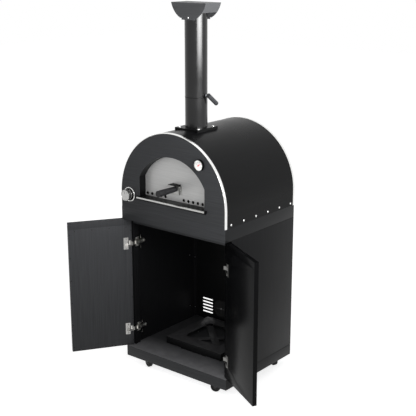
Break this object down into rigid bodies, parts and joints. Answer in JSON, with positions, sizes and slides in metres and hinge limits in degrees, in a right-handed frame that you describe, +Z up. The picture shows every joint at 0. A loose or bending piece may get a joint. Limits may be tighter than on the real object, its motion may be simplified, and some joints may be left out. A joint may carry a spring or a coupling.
{
  "type": "gas pizza oven on a cabinet cart",
  "caption": "Outdoor kitchen unit: arched gas pizza oven with a chimney, on a cabinet cart with two hinged doors, a gas cylinder tray and swivel castors.",
  "frame": {"origin": "On the ground, under the centre of the cabinet's footprint.", "axes": "Z is up. X runs along the front, from the left door to the right door as seen from the front. Y runs from the front to the back."},
  "size_m": [1.0831, 0.7853, 1.849],
  "materials": {
    "black_coat": "satin powder coat, nearly black",
    "grey_coat": "satin powder coat, dark grey",
    "gloss_black": "gloss enamel, black",
    "stainless": "brushed stainless steel",
    "nickel": "nickel plate",
    "zinc": "zinc plate",
    "cast_knob": "satin cast metal",
    "black_plastic": "matt black moulding",
    "wheel_tread": "black tread on a black hub",
    "black_rubber": "black rubber",
    "blanket": "off-white mineral fibre",
    "stone": "matt fired stone",
    "gas_brass": "plain brass",
    "white_dial": "white enamel with fine marks",
    "red_needle": "red lacquer"
  },
  "bodies": {
    "oven_cart": {"base_pan": "grey_coat", "castor_channels": "zinc", "left_side_panel": "black_coat", "right_side_panel": "black_coat", "back_panel": "black_coat", "top_rail": "grey_coat", "hose_grommet": "black_rubber", "tank_tray": "grey_coat", "tray_straps": "grey_coat", "magnet_catches": "black_plastic", "header_frame": "grey_coat", "left_hinge_arms": "nickel", "right_hinge_arms": "nickel", "castor_plates": "zinc", "oven_shell": "black_coat", "oven_face": "grey_coat", "oven_back": "black_coat", "front_trim": "stainless", "rear_trim": "stainless", "mouth_tunnel": "black_coat", "chamber_liner": "stainless", "insulation": "blanket", "baking_stone": "stone", "burner_tube": "stainless", "gas_valve": "gas_brass", "gas_pipe": "gas_brass", "sill_shelf": "black_coat", "sill_bar": "stainless", "thermometer_case": "gloss_black", "thermometer_dial": "white_dial", "knob_bezel": "stainless", "side_screws": "stainless", "flue_base": "black_coat", "flue_bolts": "stainless", "lower_flue_pipe": "gloss_black", "upper_flue_pipe": "gloss_black", "chimney_cap": "black_coat"},
    "left_door": {"left_door_outer": "black_coat", "left_door_inner": "grey_coat", "left_hinge_cups": "nickel"},
    "right_door": {"right_door_outer": "black_coat", "right_door_inner": "grey_coat", "right_hinge_cups": "nickel"},
    "oven_door": {"oven_door_plate": "stainless", "grip_bracket": "stainless", "oven_door_grip": "black_plastic", "grip_shield": "gloss_black"},
    "stem": {"valve_stem": "stainless"},
    "knob": {"gas_knob": "cast_knob"},
    "needle": {"thermometer_needle": "red_needle"},
    "damper": {"damper_flap": "zinc", "damper_handle": "black_coat"},
    "swivel_front_left": {"fork_front_left": "gloss_black"},
    "roller_front_left": {"wheel_front_left": "wheel_tread"},
    "swivel_front_right": {"fork_front_right": "gloss_black"},
    "roller_front_right": {"wheel_front_right": "wheel_tread"},
    "swivel_rear_left": {"fork_rear_left": "gloss_black"},
    "roller_rear_left": {"wheel_rear_left": "wheel_tread"},
    "swivel_rear_right": {"fork_rear_right": "gloss_black"},
    "roller_rear_right": {"wheel_rear_right": "wheel_tread"}
  },
  "joints": [
    {"name": "left_door_hinge", "type": "hinge", "parent": "oven_cart", "child": "left_door", "pos_m": [-0.3125, -0.2466, 0.4085], "axis": [0, 0, 1], "range_deg": [-31.5, 123.5]},
    {"name": "right_door_hinge", "type": "hinge", "parent": "oven_cart", "child": "right_door", "pos_m": [0.3125, -0.2466, 0.4085], "axis": [0, 0, 1], "range_deg": [-151.3, 3.7]},
    {"name": "oven_door_lift_out", "type": "slide", "parent": "oven_cart", "child": "oven_door", "axis": [0, -1, 0], "range_m": [0, 0.25]},
    {"name": "gas_knob_push", "type": "slide", "parent": "oven_cart", "child": "stem", "axis": [0, 1, 0], "range_m": [0, 0.003], "stiffness_N_per_m": 1500, "springref_m": -0.003},
    {"name": "gas_knob_turn", "type": "hinge", "parent": "stem", "child": "knob", "pos_m": [-0.271, -0.298, 0.928], "axis": [0, 1, 0], "range_deg": [-180, 0]},
    {"name": "thermometer_needle_turn", "type": "hinge", "parent": "oven_cart", "child": "needle", "pos_m": [0.17802, -0.293, 1.13893], "axis": [0, 1, 0], "range_deg": [-175, 65], "stiffness_Nm_per_rad": 0.0005},
    {"name": "damper_turn", "type": "hinge", "parent": "oven_cart", "child": "damper", "pos_m": [0, -0.095, 1.423], "axis": [1, 0, 0], "range_deg": [-53, 37]},
    {"name": "castor_swivel_front_left", "type": "hinge", "parent": "oven_cart", "child": "swivel_front_left", "pos_m": [-0.245, -0.211, 0.06], "axis": [0, 0, 1], "continuous": true},
    {"name": "castor_roll_front_left", "type": "hinge", "parent": "swivel_front_left", "child": "roller_front_left", "pos_m": [-0.22122, -0.21873, 0.025], "axis": [0.309, 0.9511, 0], "continuous": true},
    {"name": "castor_swivel_front_right", "type": "hinge", "parent": "oven_cart", "child": "swivel_front_right", "pos_m": [0.245, -0.211, 0.06], "axis": [0, 0, 1], "continuous": true},
    {"name": "castor_roll_front_right", "type": "hinge", "parent": "swivel_front_right", "child": "roller_front_right", "pos_m": [0.22136, -0.21914, 0.025], "axis": [0.3256, -0.9455, 0], "continuous": true},
    {"name": "castor_swivel_rear_left", "type": "hinge", "parent": "oven_cart", "child": "swivel_rear_left", "pos_m": [-0.245, 0.211, 0.06], "axis": [0, 0, 1], "continuous": true},
    {"name": "castor_roll_rear_left", "type": "hinge", "parent": "swivel_rear_left", "child": "roller_rear_left", "pos_m": [-0.22122, 0.20328, 0.025], "axis": [0.309, 0.9511, 0], "continuous": true},
    {"name": "castor_swivel_rear_right", "type": "hinge", "parent": "oven_cart", "child": "swivel_rear_right", "pos_m": [0.245, 0.211, 0.06], "axis": [0, 0, 1], "continuous": true},
    {"name": "castor_roll_rear_right", "type": "hinge", "parent": "swivel_rear_right", "child": "roller_rear_right", "pos_m": [0.26878, 0.20328, 0.025], "axis": [0.309, 0.9511, 0], "continuous": true}
  ]
}
